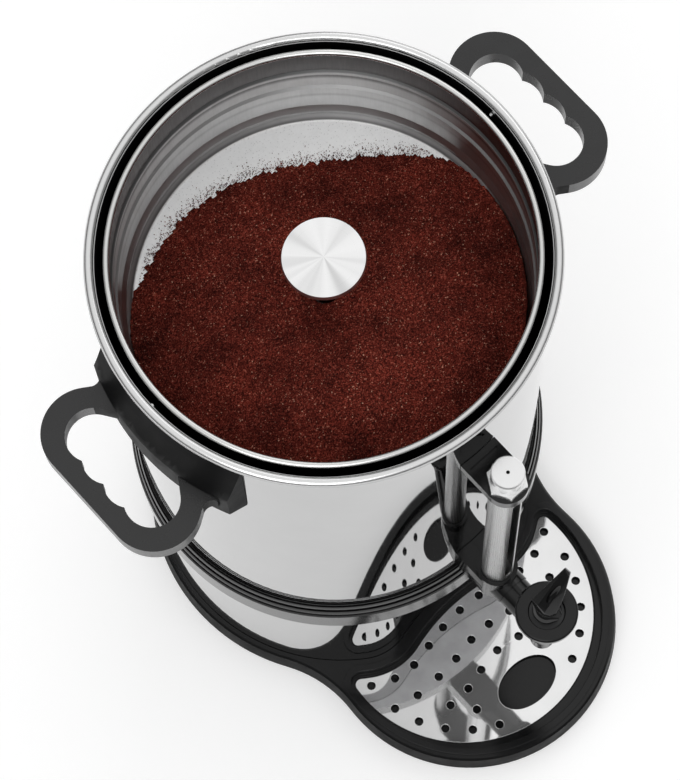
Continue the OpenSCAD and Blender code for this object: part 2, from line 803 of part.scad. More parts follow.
module riser_tube() color(steel) placed() {
    foot_z = floor_z - well_depth + 1.2 + fit;
    bell_r = well_r - 3;
    bell_h = 16;
    collar_z = basket_floor_z - 1 - fit;
    rotate_extrude($fn = 96) {
        translate([riser_r - 1, foot_z + bell_h - 1]) square([1, riser_top_z - foot_z - bell_h + 1]);
        polygon([
            [bell_r, foot_z], [bell_r, foot_z + 3], [bell_r - 8, foot_z + bell_h],
            [riser_r, foot_z + bell_h], [riser_r - 1, foot_z + bell_h - 1],
            [bell_r - 9, foot_z + bell_h - 1], [bell_r - 1, foot_z + 3], [bell_r - 1, foot_z]
        ]);
        translate([riser_r - tiny, collar_z - 2]) square([6, 2]);
    }
}

module spray_cap() color([0.86, 0.87, 0.88]) placed() {
    cap_t = 1;
    skirt_h = 7;
    translate([0, 0, riser_top_z + fit]) rotate_extrude($fn = 96) polygon([
        [0, 0], [riser_r + 0.3, 0], [riser_r + 0.3, -skirt_h], [riser_r + 1.5, -skirt_h],
        [riser_r + 1.5, 0], [cap_r - 2, 0], [cap_r - 1.2, -3], [cap_r, -3], [cap_r - 0.6, cap_t],
        [0, cap_t + 1]
    ]);
}

// A shallow cone of ground coffee, heaped off centre and cut off by the basket
module ground_coffee() color([0.27, 0.07, 0.05]) placed() {
    heap = [-21, -60];
    heap_r = 168;
    heap_top_r = 26;
    clear = 0.4;
    floor_r = wall_r - 9 - clear;
    z = basket_floor_z + clear;
    difference() {
        intersection() {
            union() {
                translate([0, 0, z]) cylinder(h = 8, r1 = floor_r, r2 = wall_r - 5.4 - clear, $fn = 120);
                translate([0, 0, z + 8]) cylinder(h = 60, r = wall_r - 5.4 - clear, $fn = 120);
            }
            translate([heap[0], heap[1], z])
                cylinder(h = coffee_depth, r1 = heap_r, r2 = heap_top_r, $fn = 120);
        }
        cylinder(h = rim_z, r = riser_r + 2.2 + clear);
    }
}

// Sight gauge
collar_r = sleeve_r + 3.2;
union_y = gauge_y + collar_r + 2.6;
way_r = 5.6;
tail = 5;
outlet_r = 10;

arm_t = 10;
bracket_screw_r = 1.6;

module gauge_bracket() color(dark) placed() {
    arm_w = 2 * collar_r;
    hollow_r = 13.4;
    z = bracket_top_z - arm_t;
    difference() {
        translate([0, 0, z]) linear_extrude(arm_t) difference() {
            union() {
                translate([0, -gauge_y]) circle(collar_r);
                translate([-arm_w / 2, -gauge_y]) square([arm_w, gauge_y - body_r + 12]);
            }
            circle(body_r + fit, $fn = 180);
        }
        translate([0, -gauge_y, z - 1]) cylinder(h = 6.5, r = sleeve_r + 0.2);
        translate([0, -gauge_y, z]) cylinder(h = arm_t + 1, r = glass_r + 2);
        // hollow in the top of the arm, a segment of a circle beside the cap
        translate([0, 0, bracket_top_z - 3]) linear_extrude(5) intersection() {
            translate([0, -gauge_y + collar_r + 0.6 + hollow_r]) circle(hollow_r, $fn = 72);
            translate([-arm_w, -gauge_y]) square([2 * arm_w, gauge_y - body_r - 4.8]);
        }
        translate([0, -body_r - 12, bracket_top_z - arm_t / 2]) rotate([-90, 0, 0])
            cylinder(h = 30, r = bracket_screw_r + thread_fit);
    }
}

module bracket_screw() color("silver") placed() {
    inner = body_r - sheet_t;
    translate([0, -inner, bracket_top_z - arm_t / 2]) rotate([90, 0, 0]) {
        translate([0, 0, -2.5]) cylinder(h = 2.4, r = 4);
        translate([0, 0, -1]) cylinder(h = sheet_t + 9, r = bracket_screw_r);
    }
}

module gauge_block() color(dark) placed() {
    under_z = spout_z - 15;
    w = 2 * collar_r;
    lip = 6;
    difference() {
        union() {
            translate([0, 0, under_z]) linear_extrude(block_top_z - under_z) difference() {
                union() {
                    translate([0, -gauge_y]) circle(collar_r);
                    translate([-w / 2, -gauge_y]) square([w, gauge_y - body_r + 12]);
                }
                circle(body_r + fit, $fn = 180);
            }
            translate([0, -gauge_y, block_top_z - tiny]) cylinder(h = lip, r = collar_r);
            translate([0, -body_r + 12, spout_z]) rotate([90, 0, 0]) cylinder(h = 20, r = outlet_r);
            translate([0, -gauge_y, spout_z]) rotate([90, 0, 0]) cylinder(h = union_y - gauge_y, r = spout_r + 0.8);
        }
        translate([0, -body_r + 14, spout_z]) rotate([90, 0, 0]) cylinder(h = union_y - body_r + 20, r = way_r);
        translate([0, -union_y + tail, spout_z]) rotate([90, 0, 0])
            cylinder(h = tail + 5, r = way_r + 2.4 + thread_fit);
        translate([0, -gauge_y, spout_z]) cylinder(h = 60, r = glass_r - 1.4);
        translate([0, -gauge_y, block_top_z - 8]) cylinder(h = 60, r = sleeve_r + 0.2);
        // parting groove along the top
        translate([-0.3, -gauge_y, block_top_z - 0.5]) cube([0.6, gauge_y - body_r + 12, 2]);
    }
}

module gauge_sleeve() color(steel) placed() {
    z0 = block_top_z - 8 + fit;
    z1 = bracket_top_z - arm_t + 5.5 - fit;
    slot_z0 = block_top_z + 18;
    slot_z1 = bracket_top_z - 28;
    difference() {
        translate([0, -gauge_y, z0]) cylinder(h = z1 - z0, r = sleeve_r);
        translate([0, -gauge_y, z0 - 1]) cylinder(h = z1 - z0 + 2, r = sleeve_r - 1);
        translate([-slot_w / 2, -gauge_y - 20, slot_z0]) cube([slot_w, 20, slot_z1 - slot_z0]);
        for (z = [slot_z0, slot_z1]) translate([0, -gauge_y, z]) rotate([90, 0, 0])
            cylinder(h = 20, r = slot_w / 2);
    }
}

seal_h = 5;

module gauge_glass() color([0.85, 0.92, 0.95, 0.4]) placed() {
    z0 = block_top_z - 8 + 1;
    translate([0, -gauge_y, z0]) difference() {
        cylinder(h = bracket_top_z - 1 - z0, r = glass_r);
        translate([0, 0, -1]) cylinder(h = rim_z, r = glass_r - 1.2);
    }
}

module gauge_seals() color([0.75, 0.3, 0.2]) placed() {
    for (z = [block_top_z - 8, bracket_top_z - arm_t - seal_h - 0.5]) translate([0, -gauge_y, z])
        difference() {
            cylinder(h = seal_h, r = sleeve_r - 1.1);
            translate([0, 0, -1]) cylinder(h = seal_h + 2, r = glass_r + 0.05);
        }
}

module gauge_cap() color([0.86, 0.87, 0.88]) placed() {
    hex_h = 8;
    round_h = 16;
    translate([0, -gauge_y, bracket_top_z]) difference() {
        union() {
            cylinder(h = hex_h, r = sleeve_r + 2.4, $fn = 6);
            cylinder(h = hex_h + round_h - 1, r = sleeve_r - 0.2);
            translate([0, 0, hex_h + round_h - 1])
                cylinder(h = 1, r1 = sleeve_r - 0.2, r2 = sleeve_r - 1);
            translate([0, 0, -4.2]) cylinder(h = 5, r = glass_r + 1.9);
        }
        translate([0, 0, -5]) cylinder(h = 40, r = 1.2, $fn = 24);
        translate([0, 0, -5]) cylinder(h = 9, r = glass_r + 0.3);
    }
}

washer_r = 15;
washer_z = body_r - sheet_t - sqrt((body_r - sheet_t)^2 - washer_r^2) + 0.1;
washer_t = 1.5;

module outlet_nut() color("silver") placed() {
    translate([0, -body_r + sheet_t + washer_z + washer_t, spout_z]) rotate([-90, 0, 0]) difference() {
        cylinder(h = 6, r = 17, $fn = 6);
        translate([0, 0, -1]) cylinder(h = 8, r = outlet_r + thread_fit);
    }
}

module outlet_washer() color([0.75, 0.3, 0.2]) placed() {
    translate([0, -body_r + sheet_t, spout_z]) rotate([-90, 0, 0]) difference() {
        translate([0, 0, washer_z]) cylinder(h = washer_t, r = washer_r);
        translate([0, 0, -1]) cylinder(h = 8, r = outlet_r + thread_fit);
    }
}

// Tap
module at_tap(z = 0) {
    translate([0, -tap_y, z]) children();
}

module tap_body() color(dark) placed() {
    difference() {
        union() {
            translate([0, -union_y - 0.1, spout_z]) rotate([90, 0, 0])
                cylinder(h = tap_y - union_y, r = spout_r);
            translate([0, -union_y + tail - 0.3, spout_z]) rotate([90, 0, 0])
                cylinder(h = tail + 2, r = way_r + 2.4);
            at_tap(spout_z - 10) cylinder(h = bonnet_z - spout_z + 10, r = valve_r);
            at_tap(seat_z - 4) cylinder(h = spout_z - 6 - seat_z + tiny, r1 = valve_r - 2.5, r2 = valve_r);
            at_tap(nozzle_z) cylinder(h = seat_z - 4 - nozzle_z + tiny, r1 = nozzle_bore + 3.8, r2 = nozzle_bore + 4);
            at_tap(bonnet_z - 4) cylinder(h = 4, r = valve_r + 3);
        }
        at_tap(nozzle_z - 1) cylinder(h = 60, r = nozzle_bore);
        at_tap(seat_z) cylinder(h = 60, r = valve_r - 3);
        translate([0, -union_y + tail, spout_z]) rotate([90, 0, 0])
            cylinder(h = tap_y - union_y + tail, r = way_r);
    }
}

module tap_bonnet() color(dark) placed() at_tap(bonnet_z) {
    flange_t = bonnet_t;
    recess_r = lever_hub_r + 1.6;
    difference() {
        union() {
            cylinder(h = flange_t - 1.2, r = bonnet_r);
            translate([0, 0, flange_t - 1.2]) cylinder(h = 1.2, r1 = bonnet_r, r2 = bonnet_r - 1.2);
            translate([0, 0, -6]) cylinder(h = 6, r = valve_r - 3 - 0.05);
        }
        translate([0, 0, recess_z - bonnet_z]) cylinder(h = 10, r = recess_r);
        translate([0, 0, -10]) cylinder(h = 30, r = stem_r + run_fit);
        translate([0, 0, -7]) cylinder(h = 5, r = coil_r + wire_r + 1);
    }
}

module wear_ring() color([0.85, 0.85, 0.82]) placed() at_tap(recess_z + 0.05) {
    difference() {
        cylinder(h = ring_t - 0.05, r = lever_hub_r + 1.2);
        translate([0, 0, -1]) cylinder(h = 4, r = stem_r + run_fit);
    }
}

cup_z = seat_z + 0.05;
cup_floor = 3;
pin_r = 1.5;
stem_top = 4.5;

module tap_stem() color("silver") placed() at_tap() {
    difference() {
        union() {
            translate([0, 0, cup_z + cup_floor]) cylinder(h = pin_z + stem_top - cup_z - cup_floor, r = stem_r);
            translate([0, 0, cup_z + cup_floor]) cylinder(h = 2, r = 6);
        }
        translate([0, 0, pin_z]) rotate([90, 0, lever_turn]) translate([0, 0, -10])
            cylinder(h = 20, r = pin_r + 0.02);
    }
}

module seat_cup() color([0.8, 0.8, 0.78]) placed() at_tap(cup_z) {
    difference() {
        cylinder(h = 9, r1 = valve_r - 4.4, r2 = valve_r - 5.8);
        translate([0, 0, cup_floor]) cylinder(h = 2 + thread_fit, r = 6 + thread_fit);
        translate([0, 0, cup_floor]) cylinder(h = 10, r = stem_r + thread_fit);
    }
}

module lever_pin() color("silver") placed() at_tap(pin_z) {
    rotate([0, 0, lever_turn]) rotate([90, 0, 0]) translate([0, 0, -9]) cylinder(h = 18, r = pin_r);
}

// A coil spring swept with a round wire
spring_turns = 6;
spring_steps = 16;
wire_r = 0.6;
coil_r = 6.4;

function ring_pts(a, z, n = 6) = [
    for (i = [0:n - 1]) let (b = 360 * i / n, r = coil_r + wire_r * cos(b))
        [r * cos(a), r * sin(a), z + wire_r * sin(b)]
];

module coil(z0, z1) {
    n = 6;
    rings = spring_turns * spring_steps;
    pts = [
        for (k = [0:rings]) each ring_pts(360 * k / spring_steps, z0 + (z1 - z0) * k / rings, n)
    ];
    sides = [
        for (k = [0:rings - 1]) for (i = [0:n - 1])
            [k * n + i, k * n + (i + 1) % n, (k + 1) * n + (i + 1) % n, (k + 1) * n + i]
    ];
    first = [for (i = [0:n - 1]) n - 1 - i];
    last = [for (i = [0:n - 1]) rings * n + i];
    polyhedron(points = pts, faces = concat([first], sides, [last]), convexity = 10);
}

module tap_spring() color("silver") placed() at_tap() {
    coil(cup_z + 9 + wire_r + 0.2, bonnet_z - 2 - wire_r - 0.2);
}

module tap_lever() color(dark) placed() at_tap(pin_z) rotate([0, 0, lever_turn]) {
    hub_r = lever_hub_r;
    cam_off = 3.5;
    base_w = 19.6;
    base_side = 2.6;
    base_t = 14;
    back = 5;
    ridge = 2.2;
    tip_w = 5.5;
    tip_t = 3.6;
    gap = stem_r + 0.5;
    top = stem_top + 1;
    low = hub_r + 2;
    swing = 37;
    difference() {
        union() {
            intersection() {
                sphere(hub_r, $fn = 64);
                translate([-20, -20, -hub_r + 2]) cube([40, 40, 40]);
            }
            intersection() {
                rotate([90, 0, 0]) translate([cam_off, 0, -6]) cylinder(h = 12, r = hub_r - fit);
                translate([-6, -10, -20]) cube([17.4, 20, 18]);
            }
            rotate([0, lever_lean, 0]) hull() {
                translate([0, base_side, 2]) linear_extrude(3) polygon([
                    [base_t - back, -base_w / 2], [base_t - back, base_w / 2],
                    [ridge - back, base_w / 2], [-back, base_w / 6], [ridge - back, -base_w / 2]
                ]);
                translate([-tip_t, 0.6 - tip_w / 2, lever_len - 2]) cube([tip_t, tip_w, 2]);
            }
        }
        // slot that lets the lever swing about the stem
        rotate([90, 0, 0]) translate([0, 0, -gap]) linear_extrude(2 * gap) polygon([
            [-gap, -low], [-gap, -1.1], [-gap / cos(swing) - top * tan(swing), top],
            [gap, top], [gap, 1.1], [gap / cos(swing) + low * tan(swing), -low]
        ]);
        rotate([90, 0, 0]) translate([0, 0, -20]) cylinder(h = 40, r = pin_r + run_fit);
        // thumb hollow on the upper face
        rotate([0, lever_lean, 0]) translate([-back - 3, -0.6, 19]) rotate([-4, 3, 0])
            scale([0.62, 0.42, 1.3]) sphere(8, $fn = 48);
    }
}

base();
feet();
base_cover();
cover_screws();
drip_pan();
drip_grate();
skirt();
belt_ring();
tank();
tie_rods();
tie_nuts();
lid_pins();
heater_plate();
heating_element();
thermostat();
thermal_cutout();
terminal_block();
cord_gland();
switch_bezel();
switch_rocker();
lamp_bezels();
lamp_lenses();
handle_left();
handle_right();
handle_screws();
handle_seals();
filter_basket();
riser_tube();
spray_cap();
ground_coffee();
gauge_bracket();
gauge_block();
gauge_sleeve();
gauge_glass();
gauge_seals();
gauge_cap();
bracket_screw();
outlet_nut();
outlet_washer();
tap_body();
tap_bonnet();
wear_ring();
tap_stem();
seat_cup();
tap_spring();
lever_pin();
tap_lever();
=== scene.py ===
import json
import math
import random

import bpy
import bmesh
from mathutils import Matrix, Vector, noise


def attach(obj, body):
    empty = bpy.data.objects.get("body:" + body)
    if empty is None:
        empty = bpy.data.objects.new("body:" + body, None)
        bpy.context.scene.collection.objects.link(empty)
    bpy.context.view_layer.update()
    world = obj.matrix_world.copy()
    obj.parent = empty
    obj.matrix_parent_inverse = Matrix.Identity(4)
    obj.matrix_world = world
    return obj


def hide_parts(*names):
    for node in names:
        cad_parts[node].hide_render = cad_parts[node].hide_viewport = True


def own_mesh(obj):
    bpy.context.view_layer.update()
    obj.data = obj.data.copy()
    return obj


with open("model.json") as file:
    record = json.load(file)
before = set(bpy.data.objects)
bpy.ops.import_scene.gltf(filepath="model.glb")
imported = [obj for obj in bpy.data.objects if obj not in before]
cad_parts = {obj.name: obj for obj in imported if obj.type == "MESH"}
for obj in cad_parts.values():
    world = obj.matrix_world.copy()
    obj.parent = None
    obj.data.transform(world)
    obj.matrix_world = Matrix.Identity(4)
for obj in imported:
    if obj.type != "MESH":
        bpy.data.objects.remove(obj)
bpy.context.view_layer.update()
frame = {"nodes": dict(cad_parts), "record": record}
scene = bpy.context.scene
NODES = frame["nodes"]
SLOT_OF = {s["node"]: s["material_slot"] for s in frame["record"]["subparts"]}

# ------------------------------------------------ sizes of the CAD, in metres
MM = 0.001
AXIS_Y = 0.0558          # the tank's axis stands at x = 0, y = AXIS_Y
GAUGE_Y = AXIS_Y - 0.171   # the gauge and the tap have upright axes at x = 0 too
TAP_Y = -0.1648
PIN_Z = 0.290            # the lever's pin
RIM_Z = 0.569            # top of the tank's rolled bead
BEAD_LOW = RIM_Z - 0.0064
TANK_IN_R = 0.1434
BASKET_Z = 0.4708        # the brew basket's floor
BASKET_IN_R = 0.1355
LIP_LOW = 0.5637         # underside of the basket's rolled lip
SLOPE_Z = 0.5128         # the handles' top slopes begin over this height
BLOCK_R = 0.168          # the handles' mounting blocks lie within this radius

# ------------------------------------------------------------------ materials
AXIS = (0.0, AXIS_Y)
GAUGE_AXIS = (0.0, GAUGE_Y)
TANK_TONE = 0.46
SPREAD = (0.35, 0.65)    # most values of the drawn lines lie between these
WIDE = (0.3, 0.7)        # and most of the broader noises between these
DRAWN = (1, 1, 0.06)     # stretches a texture into upright lines
MIRROR_ROUGH = (0.018, 0.028)
SATIN_ROUGH = (0.2, 0.25)
DULL_ROUGH = (0.5, 0.5, 0.5)
HAIR = 0.0004            # height over which one finish turns into the next
GRAIN_SCALE = 1500       # grains per metre in the coffee's texture
# Painted light and shade on the basket's wall by height, from its floor (0) to its lip (1):
# bright bands are painted highlights on its formed steps, dark bands are painted shade
WALL_PAINTED_LIGHT_BANDS = [
    (0.0, 0.5), (0.015, 0.5), (0.03, 0.95), (0.30, 0.95), (0.335, 0.72), (0.37, 0.95),
    (0.60, 1.0), (0.64, 0.4), (0.66, 0.4), (0.665, 1.05), (0.69, 1.05), (0.70, 0.3), (1.0, 0.2)]


def grey(v):
    return (v, v, v)


class Shader:
    """A Principled material with short helpers for its texture nodes."""

    def __init__(self, name):
        self.mat = bpy.data.materials.new(name)
        self.mat.use_nodes = True
        self.tree = self.mat.node_tree
        self.tree.nodes.clear()
        self.out = self.node("ShaderNodeOutputMaterial")
        self.bsdf = self.node("ShaderNodeBsdfPrincipled")
        self.link(self.bsdf.outputs[0], self.out.inputs["Surface"])
        self.here = self.node("ShaderNodeTexCoord").outputs["Object"]

    def node(self, kind, **props):
        n = self.tree.nodes.new(kind)
        for k, v in props.items():
            setattr(n, k, v)
        return n

    def link(self, a, b):
        self.tree.links.new(a, b)

    def set(self, **values):
        """Numbers that are the same all over the surface."""
        for k, v in values.items():
            self.bsdf.inputs[k.replace("_", " ")].default_value = v
        return self

    def to(self, socket, value):
        self.link(value, self.bsdf.inputs[socket])
        return self

    def noise(self, scale, detail=3, rough=0.5, vector=None):
        n = self.node("ShaderNodeTexNoise")
        for key, v in (("Scale", scale), ("Detail", detail), ("Roughness", rough)):
            n.inputs[key].default_value = v
        self.link(vector or self.here, n.inputs["Vector"])
        return n.outputs["Fac"]

    def drawn_lines(self):
        """Very fine upright lines, as on drawn sheet."""
        m = self.node("ShaderNodeMapping")
        m.inputs["Scale"].default_value = DRAWN
        self.link(self.here, m.inputs["Vector"])
        return self.noise(900, 2, 0.5, m.outputs[0])

    def voronoi(self, scale, output="Distance"):
        n = self.node("ShaderNodeTexVoronoi")
        n.inputs["Scale"].default_value = scale
        self.link(self.here, n.inputs["Vector"])
        return n.outputs[output]

    def ramp(self, fac, stops):
        """Stops are (position, colour)."""
        r = self.node("ShaderNodeValToRGB")
        e = r.color_ramp.elements
        while len(e) < len(stops):
            e.new(0.5)
        for k, (pos, col) in zip(e, stops):
            k.position = pos
            k.color = (*col, 1)
        self.link(fac, r.inputs[0])
        return r.outputs[0]

    def greys(self, fac, stops):
        """Stops are (position, tone)."""
        return self.ramp(fac, [(pos, grey(tone)) for pos, tone in stops])

    def span(self, fac, low, high, a=0.0, b=1.0):
        """Low where fac is a, high where it is b, and even between them."""
        m = self.node("ShaderNodeMapRange")
        for key, v in zip(("From Min", "From Max", "To Min", "To Max"), (a, b, low, high)):
            m.inputs[key].default_value = v
        self.link(fac, m.inputs["Value"])
        return m.outputs[0]

    def math(self, op, a, b):
        m = self.node("ShaderNodeMath", operation=op)
        for i, v in enumerate((a, b)):
            if isinstance(v, (int, float)):
                m.inputs[i].default_value = v
            else:
                self.link(v, m.inputs[i])
        return m.outputs[0]

    def split(self, vector):
        n = self.node("ShaderNodeSeparateXYZ")
        self.link(vector, n.inputs[0])
        return n.outputs

    def height(self, low, high):
        """0 at the height low and 1 at high, in metres over the floor."""
        return self.span(self.split(self.here)[2], 0, 1, low, high)

    def from_axis(self, centre):
        """How far a point lies from an upright axis in x and in y."""
        x, y, _ = self.split(self.here)
        return self.math("SUBTRACT", x, centre[0]), self.math("SUBTRACT", y, centre[1])

    def radius(self, centre=AXIS):
        """Distance from an upright axis."""
        dx, dy = self.from_axis(centre)
        return self.math("SQRT", self.math(
            "ADD", self.math("MULTIPLY", dx, dx), self.math("MULTIPLY", dy, dy)), 0.0)

    def combine(self, *values):
        c = self.node("ShaderNodeCombineXYZ")
        for v, socket in zip(values, c.inputs):
            self.link(v, socket)
        return c.outputs[0]

    def angle(self, centre):
        """Direction about an upright axis, as a point on a circle of radius 1."""
        dx, dy = self.from_axis(centre)
        r = self.radius(centre)
        return self.combine(self.math("DIVIDE", dx, r), self.math("DIVIDE", dy, r))

    def mix(self, fac, a, b, blend="MIX"):
        m = self.node("ShaderNodeMix", data_type="RGBA", blend_type=blend)
        for key, v in (("Factor", fac), ("A", a), ("B", b)):
            if isinstance(v, (int, float)):
                m.inputs[key].default_value = v
            elif isinstance(v, tuple):
                m.inputs[key].default_value = (*v, 1)
            else:
                self.link(v, m.inputs[key])
        return m.outputs["Result"]

    def bump(self, height, distance, strength):
        b = self.node("ShaderNodeBump")
        b.inputs["Distance"].default_value = distance
        b.inputs["Strength"].default_value = strength
        self.link(height, b.inputs["Height"])
        return b.outputs[0]


def steel(name, tone, rough, tint=(1.0, 1.0, 1.0), line_depth=0.000004, metallic=1.0):
    """Sheet steel: an even tone with faint haze and very fine drawing lines."""
    s = Shader(name).set(Metallic=metallic)
    s.to("Base Color", s.ramp(s.noise(38, 4, 0.6), [
        (0.3, [tone * 0.97 * t for t in tint]), (0.7, [tone * 1.02 * t for t in tint])]))
    lines = s.drawn_lines()
    s.to("Roughness", s.span(lines, rough * 0.8, rough * 1.25, *SPREAD))
    s.to("Normal", s.bump(lines, line_depth, 0.35))
    return s.mat


def plastic(name, tone, rough, grain=0.00001, tint=(1, 1, 1.03), specular=0.5):
    """Moulded plastic: a fine grain and slight unevenness in its gloss."""
    s = Shader(name).set(IOR=1.5, Specular_IOR_Level=specular)
    cloud = s.noise(55, 4, 0.6)
    s.to("Base Color", s.ramp(cloud, [
        (0.3, [tone * 0.85 * t for t in tint]), (0.7, [tone * 1.15 * t for t in tint])]))
    s.to("Roughness", s.span(cloud, rough * 0.85, rough * 1.2, *WIDE))
    s.to("Normal", s.bump(s.noise(2400, 2, 0.5), grain, 0.5))
    return s.mat


def turned(name, tone, rough, centre, painted_sheen_sectors=0.0):
    """Metal turned in circles round an upright axis. The sectors value is how much darker than
    its brightest the turned face is painted in some directions: fans of painted highlight and
    painted shade round the axis, standing in for the sheen of turned metal."""
    s = Shader(name).set(Metallic=1.0)
    rings = s.noise(2600, 3, 0.7, s.combine(s.radius(centre)))
    colour = s.greys(rings, [(0.3, tone * 0.95), (0.7, tone * 1.03)])
    if painted_sheen_sectors:
        # Painted sheen: lighter and darker fans by direction round the axis.
        painted_sheen_fans = s.noise(1.1, 2, 0.5, s.angle(centre))
        colour = s.mix(1.0, colour, s.greys(painted_sheen_fans, [
            (0.34, 1.0 - painted_sheen_sectors), (0.5, 1.0 - painted_sheen_sectors * 0.15),
            (0.58, 1.0), (0.66, 1.0 - painted_sheen_sectors * 0.5)]), "MULTIPLY")
    s.to("Base Color", colour)
    s.to("Roughness", s.span(rings, rough * 0.85, rough * 1.2, *WIDE))
    s.to("Normal", s.bump(rings, 0.000012, 0.6))
    return s.mat


def clear_glass(name):
    """Clear glass with a faint blue cast and hardly any unevenness."""
    s = Shader(name).set(Transmission_Weight=1.0, IOR=1.47)
    s.to("Roughness", s.span(s.noise(60), 0.01, 0.04))
    s.to("Base Color", s.ramp(s.noise(40), [(0.3, (0.93, 0.97, 0.98)), (0.7, (1, 1, 1))]))
    return s.mat


def tank_material():
    """The tank's sheet: mirror outside, a satin bead on the rim with painted light on it, dull
    and dark inside with painted shade.
    """
    s = Shader("tank_steel").set(Metallic=1.0)
    wall = s.greys(s.noise(30, 4, 0.6), [(0.3, TANK_TONE * 0.98), (0.7, TANK_TONE * 1.02)])
    on_bead = s.height(BEAD_LOW, BEAD_LOW + HAIR)
    inside = s.span(s.radius(), 1, 0, TANK_IN_R - 0.0001, TANK_IN_R + 0.0001)
    # Painted light on the bead: its colour grows lighter towards its top, a painted highlight
    # where it faces up and painted shade on its lower side.
    bead = s.greys(s.height(BEAD_LOW, RIM_Z), [
        (0.0, 0.3), (0.5, 0.42), (0.85, 0.62), (1.0, 0.66)])
    # Painted shade: the tank's inside, seen in the gap round the basket, gets a near-black
    # colour (0.035) in place of the steel's own tone.
    s.to("Base Color", s.mix(on_bead, s.mix(inside, wall, (0.035, 0.035, 0.037)), bead))
    lines = s.drawn_lines()
    wall_rough = s.mix(inside, s.span(lines, *MIRROR_ROUGH, *SPREAD), DULL_ROUGH)
    s.to("Roughness", s.mix(on_bead, wall_rough, s.span(lines, *SATIN_ROUGH, *SPREAD)))
    s.to("Normal", s.bump(lines, 0.0000004, 0.35))
    return s.mat


def basket_material():
    """The brew basket: satin lip, bands of painted light and shade round its wall, painted
    shade outside it, a finely pierced floor.
    """
    s = Shader("basket_steel").set(Metallic=1.0)
    on_floor = s.span(s.split(s.here)[2], 1, 0, BASKET_Z + 0.0004, BASKET_Z + 0.0010)
    on_lip = s.height(LIP_LOW, LIP_LOW + HAIR)
    outside = s.span(s.radius(), 0, 1, BASKET_IN_R + 0.0004, BASKET_IN_R + 0.0007)
    # The wall's tone is multiplied by bands of painted light and shade by height.
    wall = s.mix(1.0, s.greys(s.noise(60, 4, 0.6), [(0.3, 0.43), (0.7, 0.48)]),
                 s.greys(s.height(BASKET_Z, LIP_LOW), WALL_PAINTED_LIGHT_BANDS), "MULTIPLY")
    # Painted shade: the basket's outside, in the gap within the tank, gets a near-black colour
    # (0.03).
    wall = s.mix(outside, wall, (0.03, 0.03, 0.032))
    holes = s.greys(s.voronoi(560), [(0.10, 0.75), (0.22, 0.98), (0.6, 1.0)])
    stains = s.greys(s.noise(150, 5, 0.7), [(0.3, 0.86), (0.7, 1.0)])
    plate = s.mix(0.4, holes, stains, "MULTIPLY")
    s.to("Base Color", s.mix(on_lip, s.mix(on_floor, wall, plate), (0.62, 0.62, 0.61)))
    lines = s.drawn_lines()
    wall_rough = s.mix(on_floor, s.span(lines, 0.33, 0.4, *SPREAD), DULL_ROUGH)
    s.to("Roughness", s.mix(on_lip, wall_rough, s.span(lines, *SATIN_ROUGH, *SPREAD)))
    s.to("Normal", s.bump(s.noise(700, 3, 0.6), 0.000004, 0.5))
    return s.mat


def coffee_material():
    """Coarse ground coffee: each grain has its own dark red-brown tone."""
    s = Shader("coffee").set(IOR=1.4, Specular_IOR_Level=0.04)
    red, green, _ = s.split(s.voronoi(GRAIN_SCALE, "Color"))
    tone = s.ramp(red, [
        (0.0, (0.016, 0.0034, 0.0024)), (0.3, (0.052, 0.0084, 0.0056)),
        (0.7, (0.11, 0.0165, 0.0108)), (0.92, (0.19, 0.034, 0.023)),
        (0.985, (0.26, 0.075, 0.05)), (1.0, (0.5, 0.27, 0.19))])
    patches = s.ramp(s.noise(30, 4, 0.62), [
        (0.30, (0.55, 0.55, 0.58)), (0.5, (1.05, 1.05, 1.05)), (0.7, (1.4, 1.35, 1.3))])
    s.to("Base Color", s.mix(1.0, tone, patches, "MULTIPLY"))
    s.to("Roughness", s.span(green, 0.6, 0.9))
    s.to("Normal", s.bump(s.voronoi(GRAIN_SCALE), 0.0004, 0.9))
    return s.mat


# One material for each slot of the record
MATERIALS = {
    "polished_steel": steel("polished_steel", TANK_TONE, 0.022, line_depth=0.0000004),
    "mirror_steel": steel("mirror_steel", 0.80, 0.03, line_depth=0.000001, metallic=0.86),
    "black_gloss": plastic("black_gloss", 0.006, 0.12, specular=0.3),
    "black_satin": plastic("black_satin", 0.02, 0.4, 0.00003),
    "fastener_steel": steel("fastener_steel", 0.6, 0.22),
    "zinc_plate": steel("zinc_plate", 0.42, 0.42),
    "foot_rubber": plastic("foot_rubber", 0.03, 0.75, 0.00005),
    "silicone": plastic("silicone", 0.62, 0.55, 0.00002, (1.0, 0.98, 0.95)),
    "heater_aluminium": steel("heater_aluminium", 0.6, 0.4),
    "element_sheath": steel("element_sheath", 0.3, 0.45, (1.0, 0.9, 0.82)),
    "white_plastic": plastic("white_plastic", 0.72, 0.45, 0.00002, (1.0, 0.98, 0.92)),
    "red_plastic": plastic("red_plastic", 0.42, 0.2, 0.00001, (1.0, 0.07, 0.04)),
    "amber_plastic": plastic("amber_plastic", 0.8, 0.15, 0.00001, (1.0, 0.42, 0.06)),
    "brushed_aluminium": turned("brushed_aluminium", 0.86, 0.3, AXIS, 0.3),
    "coffee": coffee_material(),
    "gauge_glass": clear_glass("gauge_glass"),
}
# Finishes of single pieces
GLOSS = MATERIALS["black_gloss"]
GRIP = plastic("handle_black", 0.011, 0.27, 0.00003)
DULL = plastic("dull_black", 0.007, 0.45, 0.00003, specular=0.04)
# Painted light: a light grey for the black belt ring's underside, standing in for light thrown
# up from the floor, as seen in the drip grate's mirror.
PAINTED_UNDERLIGHT = plastic("painted_underlight_grey", 0.55, 0.5)
OWN_FINISH = {
    "tank": tank_material(),
    "filter_basket": basket_material(),
    "gauge_cap": turned("cap_metal", 0.8, 0.22, GAUGE_AXIS),
    "gauge_sleeve": turned("sleeve_metal", 0.5, 0.28, GAUGE_AXIS),
}


